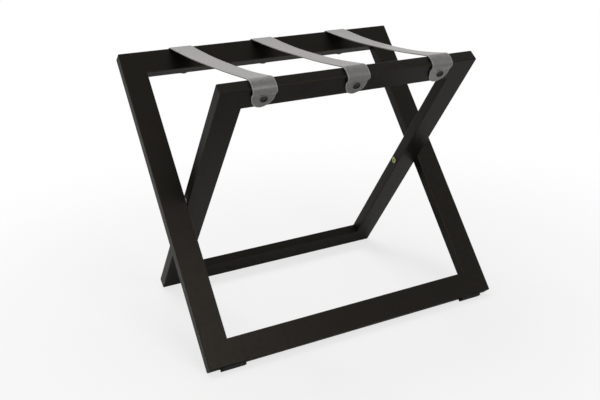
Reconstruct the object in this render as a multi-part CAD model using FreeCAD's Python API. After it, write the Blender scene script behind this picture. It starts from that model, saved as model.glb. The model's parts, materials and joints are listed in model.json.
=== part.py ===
"""Folding luggage bench: two wooden frames crossed like an X, bolted together half way up their
legs, with three leather straps over the top rails.

World axes: X along the rails, Y from front to back, Z up. The origin lies on the floor, under the
middle of the bench. All sizes are in millimetres.

Each frame is drawn flat in its own axes, with the pivot as origin: x along the rails, y through
the thickness of the bars, z along the legs. It is then leaned about the pivot. The outer frame's
top leans to the back and the inner frame's top to the front, and every strap ends on the face
that looks away from the bench: +y on the outer frame and -y on the inner one.
"""
import FreeCAD, Part
import math
import os

# Frames
BENCH_WIDTH = 600.0        # over the legs of the outer frame
LEG_LENGTH = 618.0
LEAN_DEG = 38.4            # of each frame from the vertical, when the straps are taut
BAR_WIDTH = 46.0
BAR_THICKNESS = 21.0
SIDE_GAP = 3.0             # between the legs of the two frames, filled by the pivot washer
EDGE_RADIUS = 1.5          # on all long edges of the bars
CORNER_RADIUS = 2.5        # on the four outer corners of a frame

# Loose tenons, each glued into a mortise in the leg and another in the end of the rail
TENON_LENGTH = 40.0
TENON_WIDTH = 27.0
TENON_THICKNESS = 7.0
TENON_END_GAP = 1.0        # glue space beyond each end of a tenon
GLUE_FIT = 0.05            # round tenons, inserts and screws set in wood

# Pivot: a bolt through the inner leg into an insert in the outer leg
BOLT_DIAMETER = 6.0
BOLT_HEAD_DIAMETER = 13.0
BOLT_HEAD_HEIGHT = 2.4
BOLT_HEAD_CHAMFER = 0.7
BOLT_SOCKET = 4.0          # across the flats of the hexagon
BOLT_SOCKET_DEPTH = 2.0
BOLT_END = 4.0             # length of bolt that shows beyond the insert
BOLT_CHAMFER = 0.8
INSERT_DIAMETER = 10.0
INSERT_LENGTH = 20.0
INSERT_FLANGE_DIAMETER = 14.0
INSERT_FLANGE = 1.5        # thickness
WASHER_DIAMETER = 12.0
RUNNING_FIT = 0.08         # radial, between the bolt and what turns on it
THREAD_FIT = 0.05          # radial, between the bolt and its insert
PIVOT_PLAY = 0.15          # along the bolt, at each face that slides

# Foot pads under the bottom rails
PAD_LENGTH = 45.0
PAD_WIDTH = 15.0
PAD_THICKNESS = 5.0
PAD_ROUNDING = 2.0
PAD_INSET = {"outer": 23.0, "inner": 33.0}   # from the side of the frame to the pad
PAD_FACET = 1.5            # depth to which the lowest edge of a pad is worn flat

# Straps
STRAP_CENTRES = {"left": -175.0, "centre": 0.0, "right": 175.0}
STRAP_WIDTH = 44.0
STRAP_THICKNESS = 2.0
STRAP_SEAT = 0.3           # between the leather and the wood
STRAP_SAG = 7.2            # of the span between the rails
STRAP_OVERHANG = 1.5       # of the tip of a strap below the lower edge of its rail
STRAP_TAPER = 32.0         # length of the rounded tip
STRAP_BEND = 7.0           # inner radius over the outer edge of a rail
STRAP_BULGE = 3.5          # how far the leather stands off below that edge
STRAP_ARCH_DEG = 24.0      # slope at each end of the low arch over the top of a rail
STRAP_HOLE_GAP = 0.6       # radial, round the screw
STRAP_FLAT_MARGIN = 1.0    # of leather that lies flat on the wood above each screw head

# Screws through the strap ends
SCREW_DROP = 26.0          # from the top edge of the rail
SCREW_OFFSET = 3.5         # to the right of the middle of the strap
SCREW_DIAMETER = 4.0
SCREW_LENGTH = 16.0        # under the head
SCREW_HEAD_DIAMETER = 13.5
SCREW_HEAD_HEIGHT = 3.6
SCREW_HEAD_GAP = 0.2       # between the head and the leather
SCREW_POINT = 3.0          # length of the cone
PILOT_END_GAP = 1.0        # beyond the point of a screw

CUT_MARGIN = 1.0           # by which a cutting tool stands clear of what it cuts

# Places that follow from the sizes
LEAN = math.radians(LEAN_DEG)
HALF_LEG = LEG_LENGTH / 2
HALF_BAR = BAR_THICKNESS / 2
FRAME_WIDTH = {"outer": BENCH_WIDTH, "inner": BENCH_WIDTH - 2 * (BAR_WIDTH + SIDE_GAP)}
SIDE = {"outer": 1, "inner": -1}             # the way the top leans, and the face the straps end on
PIVOT_HEIGHT = ((HALF_LEG + PAD_THICKNESS) * math.cos(LEAN) + PAD_WIDTH / 2 * math.sin(LEAN)
                - PAD_FACET)
RAIL_CENTRE = HALF_LEG - BAR_WIDTH / 2
STRAP_REACH = BAR_WIDTH + STRAP_OVERHANG     # from the top edge of a rail down to the tip of the strap
LEG_FACE = {name: width / 2 - BAR_WIDTH for name, width in FRAME_WIDTH.items()}
FLAT_BELOW = SCREW_DROP - SCREW_HEAD_DIAMETER / 2 - STRAP_FLAT_MARGIN     # the leather is flat again
SEATED_FACE = HALF_BAR + STRAP_SEAT + STRAP_THICKNESS     # outer face of a strap end, from the mid plane

X_AXIS = FreeCAD.Vector(1, 0, 0)
Y_AXIS = FreeCAD.Vector(0, 1, 0)
Z_AXIS = FreeCAD.Vector(0, 0, 1)
ORIGIN = FreeCAD.Vector(0, 0, 0)


# Helpers

def at(x=0.0, y=0.0, z=0.0):
    return FreeCAD.Vector(x, y, z)


def moved(shape, offset):
    copy = shape.copy()
    copy.translate(offset)
    return copy


def centred_box(x_size, y_size, z_size):
    return Part.makeBox(x_size, y_size, z_size, at(-x_size / 2, -y_size / 2, -z_size / 2))


def lean(shape, frame):
    """Turns a piece from its frame's own axes to its place in the bench."""
    copy = shape.copy()
    copy.rotate(ORIGIN, X_AXIS, -SIDE[frame] * LEAN_DEG)
    copy.translate(at(z=PIVOT_HEIGHT))
    return copy


def turned(profile):
    """Revolves a closed (radius, height) outline about the z axis."""
    corners = [at(x=radius, z=height) for radius, height in profile]
    face = Part.Face(Part.makePolygon(corners + corners[:1]))
    return face.revolve(ORIGIN, Z_AXIS, 360)


def aim(shape, direction):
    """Turns a piece drawn along +z so that it points along another axis."""
    copy = shape.copy()
    copy.Placement = FreeCAD.Placement(ORIGIN, FreeCAD.Rotation(Z_AXIS, direction)).multiply(copy.Placement)
    return copy


def both_sides(shape):
    """The piece and its mirror image across the middle of the bench, as (left, right)."""
    return shape.mirror(ORIGIN, X_AXIS), shape


# Frames

def frame_ring(frame):
    """The whole rectangle of a frame, with its edges rounded as one."""
    width = FRAME_WIDTH[frame]
    blank = centred_box(width, BAR_THICKNESS, LEG_LENGTH)
    window = centred_box(width - 2 * BAR_WIDTH, 2 * BAR_THICKNESS, LEG_LENGTH - 2 * BAR_WIDTH)
    corners = [edge for edge in blank.Edges if edge.BoundBox.YLength > BAR_THICKNESS / 2]
    ring = blank.makeFillet(CORNER_RADIUS, corners).cut(window)
    outline = [edge for edge in ring.Edges if edge.BoundBox.YLength < EDGE_RADIUS / 100]
    return ring.makeFillet(EDGE_RADIUS, outline)


def tenon_places(frame):
    """Middle of each tenon: one at every joint between a rail and a leg."""
    return [at(x=x, z=z) for x in (-LEG_FACE[frame], LEG_FACE[frame]) for z in (-RAIL_CENTRE, RAIL_CENTRE)]


def tenons(frame):
    tenon = centred_box(TENON_LENGTH, TENON_THICKNESS, TENON_WIDTH)
    return [moved(tenon, place) for place in tenon_places(frame)]


def mortises(frame):
    """The pair of mortises at each joint, as one pocket."""
    pocket = centred_box(TENON_LENGTH + 2 * TENON_END_GAP, TENON_THICKNESS + 2 * GLUE_FIT,
                         TENON_WIDTH + 2 * GLUE_FIT)
    return [moved(pocket, place) for place in tenon_places(frame)]


def pivot_holes(frame):
    """Holes for the bolts: through the inner legs, blind in the outer legs."""
    inside = LEG_FACE[frame]
    if frame == "inner":
        hole = Part.makeCylinder(BOLT_DIAMETER / 2 + RUNNING_FIT, BAR_WIDTH, at(x=inside), X_AXIS)
    else:
        flange, sleeve = INSERT_FLANGE_DIAMETER / 2 + GLUE_FIT, INSERT_DIAMETER / 2 + GLUE_FIT
        pilot, depth = BOLT_DIAMETER / 2 + GLUE_FIT, INSERT_LENGTH + BOLT_END + PILOT_END_GAP
        hole = turned([(0, 0), (flange, 0), (flange, INSERT_FLANGE), (sleeve, INSERT_FLANGE),
                       (sleeve, INSERT_LENGTH), (pilot, INSERT_LENGTH), (pilot, depth), (0, depth)])
        hole = moved(aim(hole, X_AXIS), at(x=inside))
    return list(both_sides(hole))


def frame_bars(frame):
    """The two legs and the two rails, cut for their tenons, bolts and screws."""
    ring = frame_ring(frame)
    drilled = ring.cut(mortises(frame) + pivot_holes(frame) + strap_screw_holes(frame))
    leg = Part.makeBox(BAR_WIDTH, BAR_THICKNESS, LEG_LENGTH,
                       at(LEG_FACE[frame], -HALF_BAR, -HALF_LEG))
    rail = Part.makeBox(2 * LEG_FACE[frame], BAR_THICKNESS, BAR_WIDTH,
                        at(-LEG_FACE[frame], -HALF_BAR, HALF_LEG - BAR_WIDTH))
    cutters = {
        "left_leg": leg.mirror(ORIGIN, X_AXIS),
        "right_leg": leg,
        "top_rail": rail,
        "bottom_rail": rail.mirror(ORIGIN, Z_AXIS),
    }
    return {name: drilled.common(cutter) for name, cutter in cutters.items()}


# Pivot

def pivot_bolt():
    """Right-hand bolt: a round head with a hexagon socket inside the inner leg, pointing out."""
    radius, head = BOLT_DIAMETER / 2, BOLT_HEAD_DIAMETER / 2
    under_head = LEG_FACE["inner"] - PIVOT_PLAY
    length = LEG_FACE["outer"] + INSERT_LENGTH + BOLT_END - under_head
    blank = turned([(0, -BOLT_HEAD_HEIGHT), (head - BOLT_HEAD_CHAMFER, -BOLT_HEAD_HEIGHT),
                    (head, BOLT_HEAD_CHAMFER - BOLT_HEAD_HEIGHT), (head, 0), (radius, 0),
                    (radius, length - BOLT_CHAMFER), (radius - BOLT_CHAMFER, length), (0, length)])
    corner = BOLT_SOCKET / 2 / math.cos(math.pi / 6)
    hexagon = [at(corner * math.cos(k * math.pi / 3), corner * math.sin(k * math.pi / 3), -BOLT_HEAD_HEIGHT)
               for k in range(7)]
    socket = Part.Face(Part.makePolygon(hexagon)).extrude(at(z=BOLT_SOCKET_DEPTH))
    return moved(aim(blank.cut(socket), X_AXIS), at(x=under_head))


def pivot_insert():
    """Right-hand insert: a flanged sleeve set into the outer leg, flush with its inner face."""
    flange, sleeve, bore = INSERT_FLANGE_DIAMETER / 2, INSERT_DIAMETER / 2, BOLT_DIAMETER / 2 + THREAD_FIT
    insert = turned([(bore, 0), (flange, 0), (flange, INSERT_FLANGE), (sleeve, INSERT_FLANGE),
                     (sleeve, INSERT_LENGTH), (bore, INSERT_LENGTH)])
    return moved(aim(insert, X_AXIS), at(x=LEG_FACE["outer"]))


def pivot_washer():
    """Right-hand washer between the inner and the outer leg."""
    thickness = SIDE_GAP - 2 * PIVOT_PLAY
    disc = Part.makeCylinder(WASHER_DIAMETER / 2, thickness)
    washer = disc.cut(Part.makeCylinder(BOLT_DIAMETER / 2 + RUNNING_FIT, thickness))
    return moved(aim(washer, X_AXIS), at(x=FRAME_WIDTH["inner"] / 2 + PIVOT_PLAY))


# Foot pads

def pad_centres(frame):
    middle = FRAME_WIDTH[frame] / 2 - PAD_INSET[frame] - PAD_LENGTH / 2
    return [at(x=-middle, z=-HALF_LEG), at(x=middle, z=-HALF_LEG)]


def pad():
    """A flat pad glued under a bar, with z = 0 at the lower edge of the bar."""
    block = Part.makeBox(PAD_LENGTH, PAD_WIDTH, PAD_THICKNESS,
                         at(-PAD_LENGTH / 2, -PAD_WIDTH / 2, -PAD_THICKNESS))
    upright = [edge for edge in block.Edges if edge.BoundBox.ZLength > PAD_THICKNESS / 2]
    return block.makeFillet(PAD_ROUNDING, upright)


def worn_flat(shape):
    """Takes off what would stand below the floor."""
    box = shape.BoundBox
    below = Part.makeBox(box.XLength, box.YLength, 2 * PAD_THICKNESS,
                         at(box.XMin, box.YMin, -2 * PAD_THICKNESS))
    return shape.cut(below)


# Straps

def sweep_band(start, heading, path, thickness):
    """Closed outline in the YZ plane of a band that follows a path of tangent runs and bends.

    The path is the band's lower side. A run is ("run", length) and a bend is ("bend", radius,
    turn), with the turn in radians and positive to the left, the side on which the band lies.
    """
    def point(base, angle, distance):
        return base + at(y=distance * math.cos(angle), z=distance * math.sin(angle))

    lower, upper = [], []
    low, angle = start, heading
    high = point(low, angle + math.pi / 2, thickness)
    first = (low, high)
    for piece in path:
        if piece[0] == "run":
            next_low, next_high = point(low, angle, piece[1]), point(high, angle, piece[1])
            lower.append(Part.LineSegment(low, next_low).toShape())
            upper.append(Part.LineSegment(high, next_high).toShape())
        else:
            radius, turn = piece[1:]
            towards = angle + math.copysign(math.pi / 2, turn)
            centre = point(low, towards, radius)
            high_radius = radius - math.copysign(thickness, turn)
            next_low = point(centre, towards + math.pi + turn, radius)
            next_high = point(centre, towards + math.pi + turn, high_radius)
            half_low = point(centre, towards + math.pi + turn / 2, radius)
            half_high = point(centre, towards + math.pi + turn / 2, high_radius)
            lower.append(Part.Arc(low, half_low, next_low).toShape())
            upper.append(Part.Arc(high, half_high, next_high).toShape())
            angle += turn
        low, high = next_low, next_high
    ends = [Part.LineSegment(*first).toShape(), Part.LineSegment(low, high).toShape()]
    return Part.Face(Part.Wire(Part.__sortEdges__(lower + upper + ends)))


def strap_outline():
    """Side view of a strap: up the front rail, over it, across the sagging span and down the back."""
    # Below the bend the leather stands off and comes back to the rail just above the screw.
    over_edge = EDGE_RADIUS + STRAP_SEAT
    arch = math.radians(STRAP_ARCH_DEG)
    drop = FLAT_BELOW - EDGE_RADIUS - (STRAP_BEND - over_edge) * math.cos(arch)
    flare = 2 * math.atan(STRAP_BULGE / drop)
    relief = drop / math.sin(flare) - STRAP_BEND

    # The arch joins the bend to a last, small one that is centred on the rounded upper edge of the rail.
    across = BAR_THICKNESS + STRAP_SEAT + STRAP_BULGE - STRAP_BEND - EDGE_RADIUS
    arch_radius = (across / math.sin(arch) + STRAP_BEND + over_edge) / 2
    edge_y = (HALF_LEG - EDGE_RADIUS) * math.sin(LEAN) - (HALF_BAR - EDGE_RADIUS) * math.cos(LEAN)
    rise = 2 * math.atan(STRAP_SAG / edge_y)
    span_radius = edge_y / math.sin(rise) - over_edge

    rail_end = [("run", STRAP_REACH - FLAT_BELOW), ("bend", relief, flare),
                ("bend", STRAP_BEND, arch - math.pi / 2 - flare), ("bend", arch_radius, -2 * arch),
                ("bend", over_edge, arch - LEAN - rise)]
    path = rail_end + [("bend", span_radius, 2 * rise)] + rail_end[::-1]

    tip = lean(Part.Vertex(0, -(HALF_BAR + STRAP_SEAT), HALF_LEG - STRAP_REACH), "inner").Point
    return sweep_band(tip, math.pi / 2 + LEAN, path, STRAP_THICKNESS)


def tip_waste(frame):
    """What the rounded tip leaves over at the end of a strap on one frame, for a strap at x = 0."""
    tip = HALF_LEG - STRAP_REACH
    depth = SEATED_FACE + STRAP_BULGE - HALF_BAR + CUT_MARGIN
    start = HALF_BAR if frame == "outer" else -HALF_BAR - depth
    block = Part.makeBox(STRAP_WIDTH + 2 * CUT_MARGIN, depth, STRAP_TAPER + CUT_MARGIN,
                         at(-STRAP_WIDTH / 2 - CUT_MARGIN, start, tip - CUT_MARGIN))
    middle = at(y=start, z=tip + STRAP_TAPER)
    long_point, wide_point = middle + at(z=STRAP_TAPER), middle + at(x=STRAP_WIDTH / 2)
    round_tip = Part.Face(Part.Wire(Part.Ellipse(long_point, wide_point, middle).toShape()))
    return lean(block.cut(round_tip.extrude(at(y=depth))), frame)


def strap(centre):
    """One strap with rounded tips and a screw hole at each end."""
    band = moved(strap_outline(), at(x=-STRAP_WIDTH / 2)).extrude(at(x=STRAP_WIDTH))
    band = band.cut([tip_waste("outer"), tip_waste("inner")])
    hole = Part.makeCylinder(SCREW_DIAMETER / 2 + STRAP_HOLE_GAP, 2 * STRAP_THICKNESS)
    for frame, side in SIDE.items():
        start = at(SCREW_OFFSET, side * (SEATED_FACE + STRAP_THICKNESS / 2), HALF_LEG - SCREW_DROP)
        band = band.cut(lean(moved(aim(hole, Y_AXIS * -side), start), frame))
    return moved(band, at(x=centre))


def strap_screw():
    """Screw that points along +z, with z = 0 under its domed head."""
    head, radius = SCREW_HEAD_DIAMETER / 2, SCREW_DIAMETER / 2
    ball = (head ** 2 + SCREW_HEAD_HEIGHT ** 2) / (2 * SCREW_HEAD_HEIGHT)
    dome = Part.makeSphere(ball, at(z=ball - SCREW_HEAD_HEIGHT))
    dome = dome.common(Part.makeCylinder(head, SCREW_HEAD_HEIGHT, at(z=-SCREW_HEAD_HEIGHT)))
    shank = turned([(0, 0), (radius, 0), (radius, SCREW_LENGTH - SCREW_POINT), (0, SCREW_LENGTH)])
    return dome.fuse(shank)


def strap_screw_places(frame):
    """Point under each head on the strap side of a frame's top rail."""
    y = SIDE[frame] * (SEATED_FACE + SCREW_HEAD_GAP)
    return [at(centre + SCREW_OFFSET, y, HALF_LEG - SCREW_DROP) for centre in STRAP_CENTRES.values()]


def strap_screws(frame):
    screw = aim(strap_screw(), Y_AXIS * -SIDE[frame])
    return [moved(screw, place) for place in strap_screw_places(frame)]


def strap_screw_holes(frame):
    hole = Part.makeCylinder(SCREW_DIAMETER / 2 + GLUE_FIT, SCREW_LENGTH + PILOT_END_GAP)
    hole = aim(hole, Y_AXIS * -SIDE[frame])
    return [moved(hole, place) for place in strap_screw_places(frame)]


# Assembly

def build():
    pieces = {}
    for frame in ("outer", "inner"):
        for name, bar in frame_bars(frame).items():
            pieces[f"{frame}_{name}"] = lean(bar, frame)
        for name, solids in {"frame_tenons": tenons(frame), "strap_screws": strap_screws(frame)}.items():
            pieces[f"{frame}_{name}"] = lean(Part.makeCompound(solids), frame)
        for name, centre in zip(("left", "right"), pad_centres(frame)):
            pieces[f"{frame}_foot_pad_{name}"] = worn_flat(lean(moved(pad(), centre), frame))

    hardware = {"pivot_bolt": pivot_bolt(), "pivot_insert": pivot_insert(), "pivot_washer": pivot_washer()}
    for name, shape in hardware.items():
        for side, piece in zip(("left", "right"), both_sides(shape)):
            pieces[f"{name}_{side}"] = lean(piece, "outer")

    for name, centre in STRAP_CENTRES.items():
        pieces[f"strap_{name}"] = strap(centre)
    return pieces


os.makedirs("parts", exist_ok=True)
for name, shape in build().items():
    shape.exportStep(f"parts/{name}.step")
    box = shape.optimalBoundingBox(False, False)
    print(f"{name}: {len(shape.Solids)} solid(s), x {box.XMin:.1f} to {box.XMax:.1f}, "
          f"y {box.YMin:.1f} to {box.YMax:.1f}, z {box.ZMin:.1f} to {box.ZMax:.1f}")
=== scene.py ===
# %% [markdown]
# # A folding luggage bench
#
# The bench is two flat frames of black-stained beech that cross like an X and turn on two bolts, with three
# grey leather straps over the top rails. Its true shape and its joint come from a CAD model that is loaded
# first. Everything is in metres: X runs along the rails, Y from front to back, Z up, and the origin is on
# the floor under the middle of the bench. This lesson gives the CAD pieces their finishes, and makes again,
# in finer form, what a plain solid can't show: the leather and the screws that hold it.

# %% Load the CAD model
import json
import math

import bpy
import numpy as np
from mathutils import Matrix, Vector


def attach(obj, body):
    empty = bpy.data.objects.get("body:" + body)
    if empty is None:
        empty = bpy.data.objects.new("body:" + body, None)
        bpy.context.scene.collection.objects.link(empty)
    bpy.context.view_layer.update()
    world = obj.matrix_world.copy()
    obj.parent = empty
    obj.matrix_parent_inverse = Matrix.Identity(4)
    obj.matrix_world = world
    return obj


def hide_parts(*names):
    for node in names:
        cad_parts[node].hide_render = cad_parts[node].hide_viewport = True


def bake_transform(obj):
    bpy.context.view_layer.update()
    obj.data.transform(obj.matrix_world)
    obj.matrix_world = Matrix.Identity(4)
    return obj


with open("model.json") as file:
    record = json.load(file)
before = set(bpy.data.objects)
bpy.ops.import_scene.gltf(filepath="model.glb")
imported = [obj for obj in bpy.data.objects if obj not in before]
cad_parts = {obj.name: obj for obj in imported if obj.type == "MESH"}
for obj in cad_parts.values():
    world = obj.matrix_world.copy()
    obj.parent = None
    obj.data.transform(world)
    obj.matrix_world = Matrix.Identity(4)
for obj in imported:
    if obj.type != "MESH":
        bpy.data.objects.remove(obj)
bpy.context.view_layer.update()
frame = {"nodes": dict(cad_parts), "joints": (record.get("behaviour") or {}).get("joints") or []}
nodes = frame["nodes"]

# %% [markdown]
# ## Sizes shared with the CAD model
#
# Each frame is easiest to describe in its own axes: x along the rails, y through the thickness, z up along
# the legs, with the pivot at the origin. A frame is then leaned by 38.4 degrees about the pivot, the outer
# one to the back and the inner one to the front. One small function takes a point from a frame's axes to
# the bench's.

# %% Sizes and places
MM = 0.001
LEAN = math.radians(38.4)
PIVOT = Vector(frame["joints"][0]["pos_m"])
HALF_LEG = 309 * MM
HALF_BAR = 10.5 * MM
BAR_WIDTH = 46 * MM
FRAME_WIDTH = {"outer": 600 * MM, "inner": 502 * MM}
SIDE = {"outer": 1, "inner": -1}      # the way the top leans, and the face that the straps end on
STRAP_X = {"left": -175 * MM, "centre": 0.0, "right": 174 * MM}


def frame_turn(name):
    """The turn from a frame's own axes to the bench's."""
    return Matrix.Rotation(-SIDE[name] * LEAN, 3, "X")


def in_bench(name, x, y, z):
    return PIVOT + frame_turn(name) @ Vector((x, y, z))


print("pivot at", tuple(round(value, 4) for value in PIVOT))

# %% [markdown]
# ## Tools for materials
#
# Blender's shaders work in linear light, while colours are easiest to pick as sRGB hex values, as on a
# paint card. One function converts them. A second one adds any node with its settings and links, so that a
# material reads as a list of what goes into what. A third starts a material from the Principled shader.

# %% Colour and node helpers
def linear(hex_colour):
    """An sRGB hex value, such as "#8a8785", as linear red, green, blue and alpha."""
    parts = [int(hex_colour[i:i + 2], 16) / 255 for i in (1, 3, 5)]
    return (*[tone / 12.92 if tone <= 0.04045 else ((tone + 0.055) / 1.055) ** 2.4 for tone in parts], 1.0)


def add(tree, kind, settings=None, inputs=None):
    """Adds a node. Each input is named, or numbered, and takes a value or another node's output."""
    node = tree.nodes.new(kind)
    for key, value in (settings or {}).items():
        setattr(node, key, value)
    for key, value in (inputs or {}).items():
        if isinstance(value, bpy.types.NodeSocket):
            tree.links.new(value, node.inputs[key])
        else:
            node.inputs[key].default_value = value
    return node


def start_material(name, settings):
    """A material whose Principled shader has these uniform settings: returns it, its tree and the shader."""
    material = bpy.data.materials.new(name)
    material.use_nodes = True
    shader = next(node for node in material.node_tree.nodes if node.type == "BSDF_PRINCIPLED")
    for key, value in settings.items():
        shader.inputs[key].default_value = value
    return material, material.node_tree, shader


def paint(material, *names):
    """Gives CAD pieces a finish."""
    for name in names:
        for place in nodes[name].material_slots:
            place.material = material


print("a mid grey in linear light:", [round(tone, 3) for tone in linear("#808080")[:3]])

# %% [markdown]
# ## Black-stained beech
#
# The bars are beech, planed, stained black and sprayed with a thin satin lacquer. What the eye gets from
# that is a near-black brown with three faint signs of wood: growth rings a few millimetres apart, fibres
# that run along the bar, and short dark pores that the lacquer doesn't quite fill. The stain is thinner on
# the eased edges, so they are a little lighter. An image of wood would need unwrapping. A pattern in space
# needs none, and shows true end grain, but it has to be turned to lie along each bar, so there is one
# finish for the legs and one for the rails of each frame. The Mapping node in TEXTURE mode undoes the
# frame's lean. The rings and fibres are drawn in tones close to each other, because a strong stain hides
# most of the figure.

# %% Finish: stained beech
WAVE = 0.314                                       # metres from wave to wave in a wave texture of scale 1
RING_STEP, HEART = 3.4 * MM, (0.021, 0.06, 0.017)  # growth rings, and how far off the pivot their middle is
FIBRE, PORE, CLOUD = 0.7 * MM, 0.35 * MM, 70 * MM  # the first two are twice the real width, so that they show
STRETCH = 45                                       # how many times longer than wide the fibres are


def stained_beech(frame_name, piece):
    """Black-stained beech for the legs or the rails of one frame."""
    material, tree, shader = start_material(f"black_stained_beech_{frame_name}_{piece}", {
        "Specular IOR Level": 0.12, "Specular Tint": linear("#fff3e2")})
    place = add(tree, "ShaderNodeTexCoord")
    own_axes = add(tree, "ShaderNodeMapping", {"vector_type": "TEXTURE"}, {
        "Vector": place.outputs["Object"], "Location": PIVOT, "Rotation": (-SIDE[frame_name] * LEAN, 0, 0)})
    along = (1, 1, 1 / STRETCH) if piece == "leg" else (1 / STRETCH, 1, 1)
    stretched = add(tree, "ShaderNodeVectorMath", {"operation": "MULTIPLY"}, {
        0: own_axes.outputs[0], 1: along})

    heart = add(tree, "ShaderNodeVectorMath", {"operation": "ADD"}, {0: stretched.outputs[0], 1: HEART})
    rings = add(tree, "ShaderNodeTexWave", {
        "wave_type": "RINGS", "rings_direction": "Z" if piece == "leg" else "X", "wave_profile": "SAW"}, {
        "Vector": heart.outputs[0], "Scale": WAVE / RING_STEP, "Distortion": 3.5, "Detail": 3.0,
        "Detail Scale": 0.6, "Detail Roughness": 0.55})
    fibres = add(tree, "ShaderNodeTexNoise", None, {
        "Vector": stretched.outputs[0], "Scale": 1 / FIBRE, "Detail": 4.0, "Roughness": 0.6})
    pore_noise = add(tree, "ShaderNodeTexNoise", None, {
        "Vector": stretched.outputs[0], "Scale": 1 / PORE, "Detail": 1.0})
    pores = add(tree, "ShaderNodeMapRange", {"interpolation_type": "SMOOTHSTEP"}, {
        "Value": pore_noise.outputs[0], "From Min": 0.60, "From Max": 0.70})
    # The stain took unevenly, in broad clouds.
    clouds = add(tree, "ShaderNodeTexNoise", None, {
        "Vector": own_axes.outputs[0], "Scale": 1 / CLOUD, "Detail": 3.0})

    # How far inside the nearest long edge a point lies: across the bar plus through its thickness.
    split = add(tree, "ShaderNodeSeparateXYZ", None, {"Vector": own_axes.outputs[0]})
    middle = (FRAME_WIDTH[frame_name] / 2 if piece == "leg" else HALF_LEG) - BAR_WIDTH / 2
    sideways = add(tree, "ShaderNodeMath", {"operation": "ABSOLUTE"}, {
        0: split.outputs[0 if piece == "leg" else 2]})
    off_middle = add(tree, "ShaderNodeMath", {"operation": "SUBTRACT"}, {0: sideways.outputs[0], 1: middle})
    inward = add(tree, "ShaderNodeMath", {"operation": "MULTIPLY"}, {0: off_middle.outputs[0], 1: -1.0})
    if piece == "leg":
        # Where a rail butts against the leg there is no edge: there the inner side counts as 1 m further in.
        height = add(tree, "ShaderNodeMath", {"operation": "ABSOLUTE"}, {0: split.outputs[2]})
        joint = add(tree, "ShaderNodeMath", {"operation": "GREATER_THAN"}, {
            0: height.outputs[0], 1: HALF_LEG - BAR_WIDTH})
        inward = add(tree, "ShaderNodeMath", {"operation": "SUBTRACT"}, {
            0: inward.outputs[0], 1: joint.outputs[0]})
    across = add(tree, "ShaderNodeMath", {"operation": "MAXIMUM"}, {
        0: off_middle.outputs[0], 1: inward.outputs[0]})
    through = add(tree, "ShaderNodeMath", {"operation": "ABSOLUTE"}, {0: split.outputs[1]})
    outward = add(tree, "ShaderNodeMath", {"operation": "ADD"}, {0: across.outputs[0], 1: through.outputs[0]})
    ragged = add(tree, "ShaderNodeMath", {"operation": "MULTIPLY_ADD"}, {
        0: fibres.outputs[0], 1: 1.2 * MM, 2: outward.outputs[0]})
    edge = add(tree, "ShaderNodeMapRange", {"interpolation_type": "SMOOTHSTEP"}, {
        "Value": ragged.outputs[0], "From Min": BAR_WIDTH / 2 + HALF_BAR - 1.6 * MM,
        "From Max": BAR_WIDTH / 2 + HALF_BAR - 0.4 * MM})

    ring_tone = add(tree, "ShaderNodeMix", {"data_type": "RGBA"}, {
        0: rings.outputs["Fac"], 6: linear("#110f0b"), 7: linear("#1a1711")})
    fibre_tone = add(tree, "ShaderNodeMix", {"data_type": "RGBA", "blend_type": "OVERLAY"}, {
        0: 0.55, 6: ring_tone.outputs[2], 7: fibres.outputs["Color"]})
    grey_fibre = add(tree, "ShaderNodeHueSaturation", None, {
        "Saturation": 0.35, "Fac": 1.0, "Color": fibre_tone.outputs[2]})
    cloud_tone = add(tree, "ShaderNodeMix", {"data_type": "RGBA"}, {
        0: clouds.outputs[0], 6: grey_fibre.outputs[0], 7: linear("#16130e")})
    pore_tone = add(tree, "ShaderNodeMix", {"data_type": "RGBA"}, {
        0: pores.outputs[0], 6: cloud_tone.outputs[2], 7: linear("#080706")})
    colour = add(tree, "ShaderNodeMix", {"data_type": "RGBA"}, {
        0: edge.outputs[0], 6: pore_tone.outputs[2], 7: linear("#24201a")})
    tree.links.new(colour.outputs[2], shader.inputs["Base Color"])

    roughness = add(tree, "ShaderNodeMapRange", None, {
        "Value": fibres.outputs[0], "From Min": 0.3, "From Max": 0.7, "To Min": 0.30, "To Max": 0.42})
    tree.links.new(roughness.outputs[0], shader.inputs["Roughness"])

    # The lacquer follows the fibres a little and sinks into the pores.
    fibre_bump = add(tree, "ShaderNodeBump", None, {
        "Strength": 0.5, "Distance": 0.06 * MM, "Height": fibres.outputs[0]})
    hollow = add(tree, "ShaderNodeMath", {"operation": "SUBTRACT"}, {0: 1.0, 1: pores.outputs[0]})
    pore_bump = add(tree, "ShaderNodeBump", None, {
        "Strength": 0.6, "Distance": 0.10 * MM, "Height": hollow.outputs[0], "Normal": fibre_bump.outputs[0]})
    tree.links.new(pore_bump.outputs[0], shader.inputs["Normal"])
    return material


for frame_name in ("outer", "inner"):
    paint(stained_beech(frame_name, "leg"), f"{frame_name}_left_leg", f"{frame_name}_right_leg")
    paint(stained_beech(frame_name, "rail"), f"{frame_name}_top_rail", f"{frame_name}_bottom_rail")
print("bars finished in stained beech: 8")

# %% [markdown]
# ## Bare beech
#
# The loose tenons that join the rails to the legs are plain beech, pink-brown, sanded and not stained, with
# fibres along them. They are glued inside the joints, so a simpler pattern does.

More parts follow.
